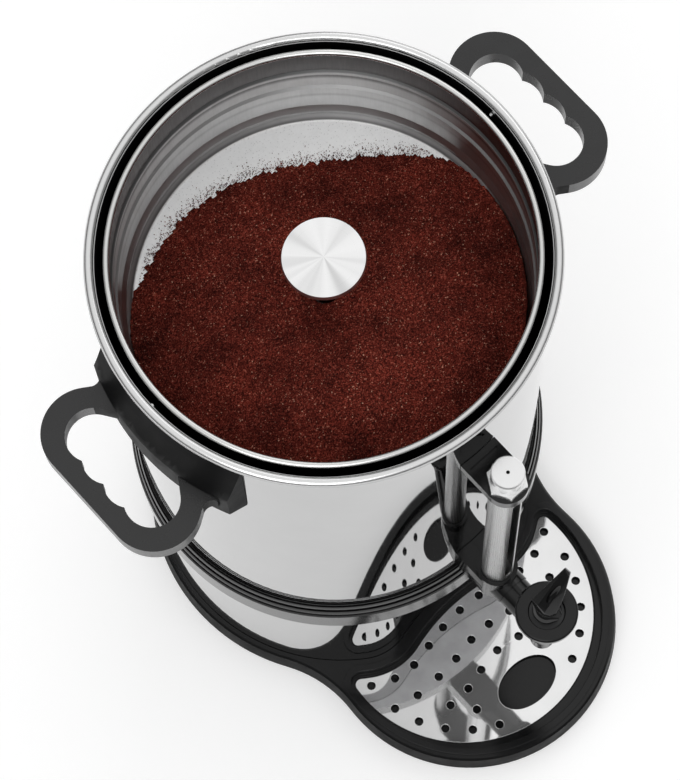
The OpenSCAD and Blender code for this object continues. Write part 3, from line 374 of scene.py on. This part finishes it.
def paint(obj, mat):
    obj.data.materials.clear()
    obj.data.materials.append(mat)


for name, obj in NODES.items():
    paint(obj, OWN_FINISH.get(name, MATERIALS[SLOT_OF[name]]))


# --------------------------------------------------------------------- pieces
def piece(name, mesh, body, replaced=(), smooth=35):
    """A mesh as a piece of the object that rides on a body. Edges sharper than smooth,
    in degrees, stay crisp."""
    obj = bpy.data.objects.new(name, mesh)
    scene.collection.objects.link(obj)
    mesh.polygons.foreach_set("use_smooth", [True] * len(mesh.polygons))
    mesh.set_sharp_from_angle(angle=math.radians(smooth))
    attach(obj, body)
    if replaced:
        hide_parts(*replaced)
    return obj


def mesh_from(bm, name, outwards=True):
    """The mesh that a bmesh holds, its faces turned outwards."""
    if outwards:
        bmesh.ops.recalc_face_normals(bm, faces=bm.faces)
    mesh = bpy.data.meshes.new(name)
    bm.to_mesh(mesh)
    bm.free()
    return mesh


def verts_in(items):
    return [g for g in items if isinstance(g, bmesh.types.BMVert)]


def round_edges(bm, edges, width, segments):
    bmesh.ops.bevel(bm, geom=edges, offset=width, offset_type="OFFSET", segments=segments,
                    profile=0.5, affect="EDGES", clamp_overlap=True)


def melt_flat(bm, degrees):
    """Join faces that lie in one plane to within some degrees."""
    bmesh.ops.dissolve_limit(
        bm, angle_limit=math.radians(degrees), verts=bm.verts, edges=bm.edges)


SHARP_CAD, SHARP_HULL = math.radians(28), math.radians(24)   # sharper edges are rounded


def rounded_copy(node, width, mats, body="housing", segments=3, choose=None):
    """A copy of a CAD node with its sharp edges rounded, which stands for the node.
    Choose gives each face the index of its material in mats."""
    mesh = NODES[node].data.copy()
    mesh.name = node + "_soft"
    mesh.materials.clear()
    bm = bmesh.new()
    bm.from_mesh(mesh)
    bmesh.ops.remove_doubles(bm, verts=bm.verts, dist=1e-6)
    melt_flat(bm, 0.6)
    sharp = [e for e in bm.edges
             if len(e.link_faces) == 2 and e.calc_face_angle(0) > SHARP_CAD]
    round_edges(bm, sharp, width, segments)
    bmesh.ops.remove_doubles(bm, verts=bm.verts, dist=2e-6)
    if choose:
        for f in bm.faces:
            f.material_index = choose(f)
    bm.to_mesh(mesh)
    bm.free()
    for m in mats:
        mesh.materials.append(m)
    obj = piece(node + "_moulded", mesh, body, (node,), smooth=40)
    obj.modifiers.new("normals", "WEIGHTED_NORMAL").keep_sharp = True


def dull_block(face):
    """1 on the mounting block's top slope and steep walls, 0 on the glossier grip."""
    middle = face.calc_center_median()
    on_slope = middle.z > SLOPE_Z and face.normal.z > 0.15
    on_block = math.hypot(middle.x, middle.y - AXIS_Y) < BLOCK_R
    return int(on_slope or (on_block and abs(face.normal.z) < 0.5))


def steep_side(face):
    """1 on steep walls, 0 elsewhere."""
    return int(abs(face.normal.z) < 0.35)


def underside(face):
    """1 on level faces that look down, 0 elsewhere."""
    return int(face.normal.z < -0.7)


for side in ("handle_left", "handle_right"):
    rounded_copy(side, 0.0012, [GRIP, DULL], choose=dull_block)
rounded_copy("gauge_bracket", 0.0007, [GLOSS])
rounded_copy("gauge_block", 0.0007, [GLOSS])
rounded_copy("tap_bonnet", 0.0004, [GLOSS])
rounded_copy("drip_pan", 0.0006, [GLOSS], body="pan")
rounded_copy("base", 0.0006, [GLOSS, DULL], choose=steep_side)
# The belt ring's downward faces get the painted underlight grey.
rounded_copy("belt_ring", 0.0004, [GLOSS, PAINTED_UNDERLIGHT], choose=underside)
rounded_copy("drip_grate", 0.0004, [MATERIALS["mirror_steel"]], body="grate", segments=2)

# ---------------------------------------------------------------------- lever
# All sizes here are in mm about the pin, before the lever's turn about the tap's axis.
LEVER_TURN = math.radians(12)
# Edge of the teardrop face, from its left corner round the heel towards the tip
FACE_EDGE = [(-3.1, 11.8, 7.4), (-4.4, 5.7, 10.4), (-5.6, -0.9, 8.4), (-4.4, -5.0, 6.4),
             (-0.6, -7.6, 7.4), (7.5, -6.9, 17.4), (13.3, -5.2, 26.6)]
TIP = [(22.5, 3.2, 36), (21.8, -1.8, 36), (19.5, -2.2, 35), (19.4, -2.9, 34.6),
       (24.0, 3.2, 33), (23.4, -1.8, 33)]
# Level rings (radius, height) that close the wedge below and make the round hub
WEDGE_RINGS = [(7.6, -1.0), (7.6, -4.0)]
HUB_RINGS = [(6.4, 3.2), (8.4, 1.2), (9.9, -2.0), (10.1, -4.2), (9.6, -6.2), (8.0, -8.8)]
BOSS_R, BOSS_OUT = 3.2, 10.6
HOLLOW = Vector((6.34, 0.36, 20.4))   # middle of the thumb's hollow
HOLLOW_ALONG = Vector((0.658, -0.103, 0.743))   # direction of its length
HOLLOW_OUT = Vector((-0.726, -0.342, 0.596))    # direction out of the face
HOLLOW_SIZE = (9.6, 2.7, 1.7)                   # half its length, width and depth
STEM_WAY = 3.4           # half the slot's width
STEM_ARC = 5.75          # radius that the stem's top sweeps about the pin
SLOT_LOW = -14           # the slot opens below the lever


def ring(radius, z, count=48):
    turns = [2 * t * math.pi / count for t in range(count)]
    return [(radius * math.cos(a), radius * math.sin(a), z) for a in turns]


def rounded_hull(name, points, rings, width):
    """A closed hull over points and level rings, its edges rounded."""
    bm = bmesh.new()
    for radius, z in rings:
        points = points + ring(radius, z)
    for q in points:
        bm.verts.new(q)
    out = bmesh.ops.convex_hull(bm, input=bm.verts)
    spare = set(verts_in(out["geom_interior"] + out["geom_unused"]))
    bmesh.ops.delete(bm, geom=list(spare), context="VERTS")
    melt_flat(bm, 3)
    sharp = [e for e in bm.edges if e.calc_face_angle(0) > SHARP_HULL]
    round_edges(bm, sharp, width, segments=2)
    return mesh_from(bm, name)


def pin_boss():
    """Points of a boss on each side of the hub, where the pin goes through."""
    turns = [t * math.pi / 8 for t in range(16)]
    return [(BOSS_R * math.cos(a), side * BOSS_OUT, BOSS_R * math.sin(a))
            for a in turns for side in (-1, 1)]


def stem_slot():
    """Room under the lever for the stem over the lever's whole swing."""
    sweep = [math.radians(a) for a in range(190, 49, -10)]
    outline = [(-STEM_WAY, SLOT_LOW), (-STEM_WAY, -1.6)]
    outline += [(STEM_ARC * math.cos(a), STEM_ARC * math.sin(a)) for a in sweep]
    outline += [(STEM_WAY, 1.1), (14.6, SLOT_LOW)]
    bm = bmesh.new()
    face = bm.faces.new([bm.verts.new((x, -STEM_WAY, z)) for x, z in outline])
    for v in verts_in(bmesh.ops.extrude_face_region(bm, geom=[face])["geom"]):
        v.co.y = STEM_WAY
    return mesh_from(bm, "stem_slot")


def thumb_hollow():
    """A long lens that lies along the teardrop face."""
    bm = bmesh.new()
    bmesh.ops.create_uvsphere(bm, u_segments=40, v_segments=24, radius=1.0)
    side = HOLLOW_OUT.cross(HOLLOW_ALONG).normalized()
    out = HOLLOW_ALONG.cross(side).normalized()
    for v in bm.verts:
        x, y, z = (c * k for c, k in zip(v.co, HOLLOW_SIZE))
        v.co = HOLLOW + HOLLOW_ALONG * x + side * y + out * z
    return mesh_from(bm, "thumb_hollow")


def combine(mesh, *steps):
    """The mesh joined with, or cut by, each of the other meshes in turn."""
    work = [bpy.data.objects.new("work", m) for m in [mesh] + [m for _, m in steps]]
    for obj in work:
        scene.collection.objects.link(obj)
    for (way, _), tool in zip(steps, work[1:]):
        mod = work[0].modifiers.new("step", "BOOLEAN")
        mod.operation, mod.solver, mod.object = way, "EXACT", tool
    graph = bpy.context.evaluated_depsgraph_get()
    got = bpy.data.meshes.new_from_object(work[0].evaluated_get(graph))
    for obj in work:
        bpy.data.objects.remove(obj)
    return got


lever_mesh = combine(
    rounded_hull("lever_wedge", FACE_EDGE + TIP, WEDGE_RINGS, 0.45),
    ("UNION", rounded_hull("lever_hub", pin_boss(), HUB_RINGS, 0.2)),
    ("DIFFERENCE", stem_slot()), ("DIFFERENCE", thumb_hollow()))
lever_mesh.transform(Matrix.Translation((0.0, TAP_Y, PIN_Z))
                     @ Matrix.Rotation(LEVER_TURN, 4, "Z") @ Matrix.Scale(MM, 4))
lever_mesh.materials.clear()
lever_mesh.materials.append(GLOSS)
piece("lever_moulded", lever_mesh, "lever", ("tap_lever",), smooth=13)

# --------------------------------------------------------------------- spring
spring_mesh = NODES["tap_spring"].data.copy()
spring = piece("tap_spring_coil", spring_mesh, "housing", ("tap_spring",))
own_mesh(spring)

# --------------------------------------------------------------------- coffee
HEAP = (-0.0273, -0.0687)   # centre of the heap, from the tank's axis
HEAP_R, HEAP_TOP_R, HEAP_H = 0.1729, 0.026, 0.044
EDGE_WAVE, EDGE_WAVES, EDGE_PHASE = 0.0033, 6, math.radians(86.3)   # the edge isn't round
FLOOR_Z = BASKET_Z + 0.0004
SKIRT_LOW = FLOOR_Z - 0.0001   # foot of the skirt round the heap
WALL_R = BASKET_IN_R - 0.0058
HUB_R = 0.0106              # the riser tube stands in the middle
BROAD = ((18, 0.0035), (55, 0.0016))   # lumps: (waves per metre, height)
FINE = ((260, 0.0009), (620, 0.0008))
FADE = 0.01                 # broad lumps die out where the heap is lower than this
THIN = 0.0004               # coffee lower than this is left out
GRID = 0.0013               # spacing of the heap's points
SHAKE, SHAKE_WAVES = 0.3, 900   # how far they stray, of that spacing, and how unevenly
PAST = GRID * 0.7           # points this far past the wall or hub are drawn onto it
EDGE_GRAINS, EDGE_SIZES = 1500, (0.00022, 0.00055)
TOP_GRAINS, TOP_SIZES = 2600, (0.0004, 0.0009)
EDGE_INSET, EDGE_RAGGED = 0.001, 0.003   # loose grains begin inside an uneven edge
EDGE_SPREAD = 0.0034        # most of them lie this near it
STRAY_RATE = 700            # one over the mean way that they stray further
WALL_GAP, TOP_GAP = 0.006, 0.002   # room that grains leave to the wall
FULL_TURN = 6.28            # radians


def lumps(point, waves):
    return sum(noise.noise(point * scale) * size for scale, size in waves)


def heap_edge(around):
    """Radius of the heap on the basket floor in one direction from its centre."""
    return HEAP_R + EDGE_WAVE * math.cos(EDGE_WAVES * (around - EDGE_PHASE))


def heap_height(x, y):
    """Height of the coffee's surface over the basket floor, axis at 0, 0."""
    dx, dy = x - HEAP[0], y - HEAP[1]
    edge = heap_edge(math.atan2(dy, dx))
    cone = HEAP_H * (edge - max(math.hypot(dx, dy), HEAP_TOP_R)) / (edge - HEAP_TOP_R)
    p = Vector((x, y, 0))
    return cone + lumps(p, BROAD) * min(1, max(0, cone / FADE)) + lumps(p, FINE)


def heap_point(x, y):
    """A point of the grid, shaken, or drawn to the wall or hub that it lies past."""
    r = math.hypot(x, y)
    k = max(HUB_R, min(r, WALL_R)) / r
    if k != 1:
        return x * k, y * k
    jx, jy = (noise.noise(Vector((x * SHAKE_WAVES, y * SHAKE_WAVES, layer)))
              for layer in (3.1, 7.7))
    return x + jx * GRID * SHAKE, y + jy * GRID * SHAKE


def coffee_mesh():
    """The heap's surface with a skirt down to the basket floor all round."""
    n = int(WALL_R / GRID) + 1
    bm = bmesh.new()
    grid = {}
    for i in range(-n, n + 1):
        for j in range(-n, n + 1):
            if HUB_R - PAST <= math.hypot(i * GRID, j * GRID) <= WALL_R + PAST:
                x, y = heap_point(i * GRID, j * GRID)
                h = heap_height(x, y)
                grid[i, j] = bm.verts.new((x, y + AXIS_Y, FLOOR_Z + max(h, 0.0))), h
    for i, j in list(grid):
        q = [grid.get(c) for c in ((i, j), (i + 1, j), (i + 1, j + 1), (i, j + 1))]
        if all(q) and max(h for _, h in q) > THIN:
            bm.faces.new([v for v, _ in q])
    bmesh.ops.delete(bm, geom=[v for v in bm.verts if not v.link_faces], context="VERTS")
    rim = [e for e in bm.edges if e.is_boundary]
    for v in verts_in(bmesh.ops.extrude_edge_only(bm, edges=rim)["geom"]):
        v.co.z = SKIRT_LOW
    mesh = mesh_from(bm, "coffee_heap")
    mesh.materials.append(MATERIALS["coffee"])
    return mesh


def grain(bm, rng, x, y, z, size):
    """One irregular crumb."""
    turn = Matrix.Rotation(rng.uniform(0, FULL_TURN), 3, Vector(
        [rng.uniform(-1, 1) for _ in range(3)]).normalized())
    ends = [Vector(v) * rng.uniform(0.6, 1.2) for v in (
        (1, 0, 0), (-1, 0, 0), (0, 1, 0), (0, -1, 0), (0, 0, 0.8), (0, 0, -0.8))]
    vs = [bm.verts.new(Vector((x, y, z)) + turn @ e * size) for e in ends]
    for a, b in ((0, 2), (2, 1), (1, 3), (3, 0)):
        bm.faces.new((vs[a], vs[b], vs[4]))
        bm.faces.new((vs[b], vs[a], vs[5]))


def grains_mesh():
    """Loose grains on the floor along the heap's edge, and on the heap."""
    rng = random.Random(11)
    bm = bmesh.new()
    made = 0
    while made < EDGE_GRAINS:
        a = rng.uniform(0, 2 * math.pi)
        out = abs(rng.gauss(0, EDGE_SPREAD)) + rng.expovariate(STRAY_RATE)
        ragged = noise.noise(Vector((a * 9, 0, 0))) * EDGE_RAGGED
        r = heap_edge(a) - EDGE_INSET + out + ragged
        x, y = HEAP[0] + r * math.cos(a), HEAP[1] + r * math.sin(a)
        if math.hypot(x, y) > WALL_R - WALL_GAP:
            continue
        size = rng.uniform(*EDGE_SIZES)
        grain(bm, rng, x, y + AXIS_Y, FLOOR_Z + size * 0.5, size)
        made += 1
    for _ in range(TOP_GRAINS):
        x, y = rng.uniform(-WALL_R, WALL_R), rng.uniform(-WALL_R, WALL_R)
        h = heap_height(x, y)
        if HUB_R + TOP_GAP < math.hypot(x, y) < WALL_R - TOP_GAP and h > TOP_GAP:
            size = rng.uniform(*TOP_SIZES)
            grain(bm, rng, x, y + AXIS_Y, FLOOR_Z + h + size * 0.35, size)
    mesh = mesh_from(bm, "loose_grains", outwards=False)
    mesh.materials.append(MATERIALS["coffee"])
    return mesh


piece("coffee_heap", coffee_mesh(), "basket", ("ground_coffee",), smooth=180)
piece("loose_grains", grains_mesh(), "basket", smooth=10)

# -------------------------------------------------------------- camera, stage
FOCAL_PX, IMAGE_H, SENSOR = 3180.63, 780, 36   # pixels, pixels, mm
EYE = (-0.394679, -0.513479 + AXIS_Y, 2.43929)
forward = Vector((0.17572, 0.2257, -0.958218))
right = Vector((0.743226, -0.668704, -0.021213))
camera = bpy.data.objects.new("camera", bpy.data.cameras.new("camera"))
scene.collection.objects.link(camera)
facing = Matrix((right, right.cross(forward), -forward)).transposed().to_4x4()
camera.matrix_world = Matrix.Translation(EYE) @ facing
camera.data.sensor_width = SENSOR
camera.data.sensor_fit = "AUTO"
camera.data.lens = SENSOR * FOCAL_PX / IMAGE_H
camera.data.clip_start = 0.05
scene.camera = camera

FLOOR_HALF = 30
FLOOR_GLOW = 0.21        # seen by the camera and in metal and glass only
corners = [(-1, -1), (1, -1), (1, 1), (-1, 1)]
floor_mesh = bpy.data.meshes.new("floor")
floor_mesh.from_pydata([(x * FLOOR_HALF, y * FLOOR_HALF, 0) for x, y in corners],
                       [], [(0, 1, 2, 3)])
floor = bpy.data.objects.new("floor", floor_mesh)
scene.collection.objects.link(floor)
f = Shader("floor").set(Roughness=0.9, Base_Color=(0.92, 0.92, 0.92, 1))
path = f.node("ShaderNodeLightPath")
seen = f.math("MAXIMUM", path.outputs["Is Camera Ray"], f.math(
    "MAXIMUM", path.outputs["Is Glossy Ray"], path.outputs["Is Transmission Ray"]))
glow = f.node("ShaderNodeEmission")
glow.inputs["Color"].default_value = (1, 1, 1, 1)
f.link(f.math("MULTIPLY", seen, FLOOR_GLOW), glow.inputs["Strength"])
both = f.node("ShaderNodeAddShader")
f.link(f.bsdf.outputs[0], both.inputs[0])
f.link(glow.outputs[0], both.inputs[1])
f.link(both.outputs[0], f.out.inputs["Surface"])
paint(floor, f.mat)

# Brightness of the room by direction, from straight down (0) to straight up (1)
SKY = [(0.0, 0.13), (0.25, 0.2), (0.5, 0.42), (0.75, 0.95), (1.0, 1.05)]
world = bpy.data.worlds.new("world")
scene.world = world
world.use_nodes = True
tree = world.node_tree
where = tree.nodes.new("ShaderNodeTexCoord")
parts = tree.nodes.new("ShaderNodeSeparateXYZ")
sky = tree.nodes.new("ShaderNodeValToRGB")
while len(sky.color_ramp.elements) < len(SKY):
    sky.color_ramp.elements.new(0.5)
for element, (at, level) in zip(sky.color_ramp.elements, SKY):
    element.position = at
    element.color = (*grey(level), 1)
background = tree.nodes["Background"]
tree.links.new(where.outputs["Generated"], parts.inputs[0])
tree.links.new(parts.outputs[2], sky.inputs[0])
tree.links.new(sky.outputs[0], background.inputs["Color"])
background.inputs["Strength"].default_value = 1.0


LAMPS_AIM = Vector((0, 0, 0.3))


def lamp(name, place, size, power):
    """A square soft box that points at the middle of the urn."""
    data = bpy.data.lights.new(name, "AREA")
    data.shape = "RECTANGLE"
    data.size = data.size_y = size
    data.energy = power
    obj = bpy.data.objects.new(name, data)
    scene.collection.objects.link(obj)
    obj.location = place
    obj.rotation_euler = (LAMPS_AIM - Vector(place)).to_track_quat("-Z", "Y").to_euler()


lamp("key", (-1.4, -1.0, 2.2), size=1.6, power=16)
lamp("fill", (1.7, 0.9, 1.6), size=1.8, power=9)

scene.view_settings.view_transform = "Standard"
scene.view_settings.look = "None"
